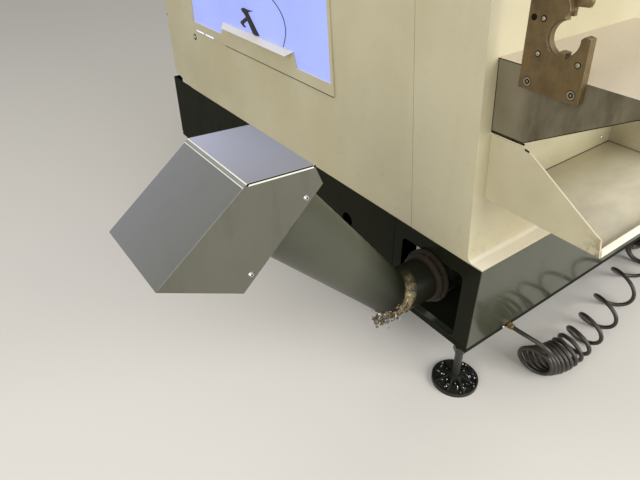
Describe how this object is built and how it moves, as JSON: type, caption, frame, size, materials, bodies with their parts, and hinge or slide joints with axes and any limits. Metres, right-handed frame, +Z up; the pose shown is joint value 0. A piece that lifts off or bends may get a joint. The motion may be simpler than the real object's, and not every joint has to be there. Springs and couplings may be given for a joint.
{
  "type": "vertical machining center",
  "caption": "Vertical machining center in a cream enclosure on a dark base, with a chip auger, discharge tube and hood, work shelf, catch tray, tool fixture and coiled air hose.",
  "frame": {"origin": "Middle of the machine's box at floor level, measured without the air hose and what is on it.", "axes": "+X to the operator's right along the front, +Y to the rear, +Z up."},
  "size_m": [3.118, 2.638, 2.44],
  "materials": {
    "cream_paint": "satin powder coat",
    "dark_paint": "gloss enamel",
    "grey_paint": "satin enamel",
    "grey_sheet": "stained steel sheet",
    "steel": "machined",
    "dark_steel": "oily brown steel",
    "zinc": "bright zinc",
    "brass": "plain",
    "hose_plastic": "satin",
    "black_plastic": "matt",
    "red_plastic": "gloss",
    "green_plastic": "gloss",
    "clear_pane": "clear, tinted by what is behind it"
  },
  "bodies": {
    "frame": {"base_casting": "dark_paint", "skirt_front": "dark_paint", "side_skirts": "dark_paint", "levelling_screws": "dark_steel", "levelling_pads": "dark_steel", "frame_rails": "steel", "column": "grey_paint", "way_cover_fixed": "steel", "front_panel_left": "cream_paint", "front_panel_right": "cream_paint", "front_crosspieces": "cream_paint", "left_side_panel": "cream_paint", "right_side_panel": "cream_paint", "rear_panel": "cream_paint", "door_rails": "steel", "work_shelf": "grey_sheet", "catch_tray": "cream_paint", "fixture_plate": "dark_steel", "fixture_bolts": "dark_steel", "chip_pan": "grey_paint", "drive_motors": "black_plastic", "discharge_tube": "grey_paint", "tube_rings": "dark_steel", "hood": "grey_paint", "hood_screws": "zinc", "carousel_beam": "grey_paint", "pendant_post": "cream_paint", "cabinet": "cream_paint", "coolant_tank": "grey_paint", "air_fitting": "brass", "air_hose_lead": "hose_plastic", "air_hose_coil": "hose_plastic", "air_hose_tail": "hose_plastic", "blow_gun": "black_plastic"},
    "saddle": {"saddle": "grey_paint", "x_rails": "steel", "way_cover_saddle": "steel"},
    "cover": {"way_cover_middle": "steel"},
    "table": {"table": "steel"},
    "head": {"spindle_head": "cream_paint", "spindle_motor": "black_plastic"},
    "spindle": {"spindle": "steel"},
    "hatch": {"window_hatch": "cream_paint", "window_pane": "clear_pane"},
    "door_left": {"door_left": "cream_paint", "door_pane_left": "clear_pane"},
    "door_right": {"door_right": "cream_paint", "door_pane_right": "clear_pane"},
    "lever": {"fixture_lever": "dark_steel"},
    "auger": {"auger_screw": "dark_steel"},
    "changer": {"carousel_arm": "grey_paint"},
    "carousel": {"carousel": "steel"},
    "pendant": {"pendant_arm": "cream_paint", "pendant_box": "cream_paint"},
    "estop": {"estop_button": "red_plastic"},
    "start": {"start_button": "green_plastic"},
    "wheel": {"handwheel": "black_plastic"},
    "cabinet_door": {"cabinet_door": "cream_paint"},
    "disconnect": {"disconnect_handle": "black_plastic"},
    "trigger": {"blow_gun_lever": "zinc"}
  },
  "joints": [
    {"name": "saddle_y", "type": "slide", "parent": "frame", "child": "saddle", "axis": [0, 1, 0], "range_m": [-0.203, 0.203]},
    {"name": "cover_y", "type": "slide", "parent": "frame", "child": "cover", "axis": [0, 1, 0], "range_m": [-0.1015, 0.1015]},
    {"name": "table_x", "type": "slide", "parent": "saddle", "child": "table", "axis": [1, 0, 0], "range_m": [-0.381, 0.381]},
    {"name": "head_z", "type": "slide", "parent": "frame", "child": "head", "axis": [0, 0, 1], "range_m": [-0.508, 0]},
    {"name": "spindle_spin", "type": "hinge", "parent": "head", "child": "spindle", "pos_m": [0.347, -0.091, 1.6], "axis": [0, 0, 1], "continuous": true},
    {"name": "hatch_lift", "type": "hinge", "parent": "frame", "child": "hatch", "pos_m": [-0.762, 0.109, 1.466], "axis": [0, 1, 0], "range_deg": [0, 80]},
    {"name": "door_left_slide", "type": "slide", "parent": "frame", "child": "door_left", "axis": [1, 0, 0], "range_m": [-0.44, 0]},
    {"name": "door_right_slide", "type": "slide", "parent": "frame", "child": "door_right", "axis": [1, 0, 0], "range_m": [0, 0.44]},
    {"name": "lever_swing", "type": "hinge", "parent": "frame", "child": "lever", "pos_m": [-0.707, -0.991, 1.136], "axis": [1, 0, 0], "range_deg": [-75, 0]},
    {"name": "auger_spin", "type": "hinge", "parent": "frame", "child": "auger", "pos_m": [0.247, -0.819, 0.338], "axis": [1, 0, 0], "continuous": true},
    {"name": "changer_x", "type": "slide", "parent": "frame", "child": "changer", "axis": [1, 0, 0], "range_m": [0, 0.29]},
    {"name": "carousel_spin", "type": "hinge", "parent": "changer", "child": "carousel", "pos_m": [-0.213, -0.091, 1.5], "axis": [0, 0, 1], "continuous": true},
    {"name": "pendant_swing", "type": "hinge", "parent": "frame", "child": "pendant", "pos_m": [1.483, -0.841, 1.74], "axis": [0, 0, 1], "range_deg": [0, 70]},
    {"name": "estop_press", "type": "slide", "parent": "pendant", "child": "estop", "axis": [0, 1, 0], "range_m": [0, 0.004], "stiffness_N_per_m": 1200, "springref_m": -0.003},
    {"name": "start_press", "type": "slide", "parent": "pendant", "child": "start", "axis": [0, 1, 0], "range_m": [0, 0.003], "stiffness_N_per_m": 800, "springref_m": -0.002},
    {"name": "wheel_turn", "type": "hinge", "parent": "pendant", "child": "wheel", "pos_m": [1.247, -1.281, 1.26], "axis": [0, 1, 0], "continuous": true},
    {"name": "cabinet_swing", "type": "hinge", "parent": "frame", "child": "cabinet_door", "pos_m": [-0.141, 1.253, 1.2], "axis": [0, 0, 1], "range_deg": [0, 110]},
    {"name": "disconnect_turn", "type": "hinge", "parent": "cabinet_door", "child": "disconnect", "pos_m": [0.707, 1.269, 1.5], "axis": [0, 1, 0], "range_deg": [0, 90]},
    {"name": "trigger_squeeze", "type": "slide", "parent": "frame", "child": "trigger", "axis": [0.3417, 0.9398, 0], "range_m": [-0.004, 0], "stiffness_N_per_m": 300, "springref_m": 0.004}
  ],
  "couplings": [
    {"joint": "cover_y", "follows": "saddle_y", "ratio": 0.5}
  ]
}
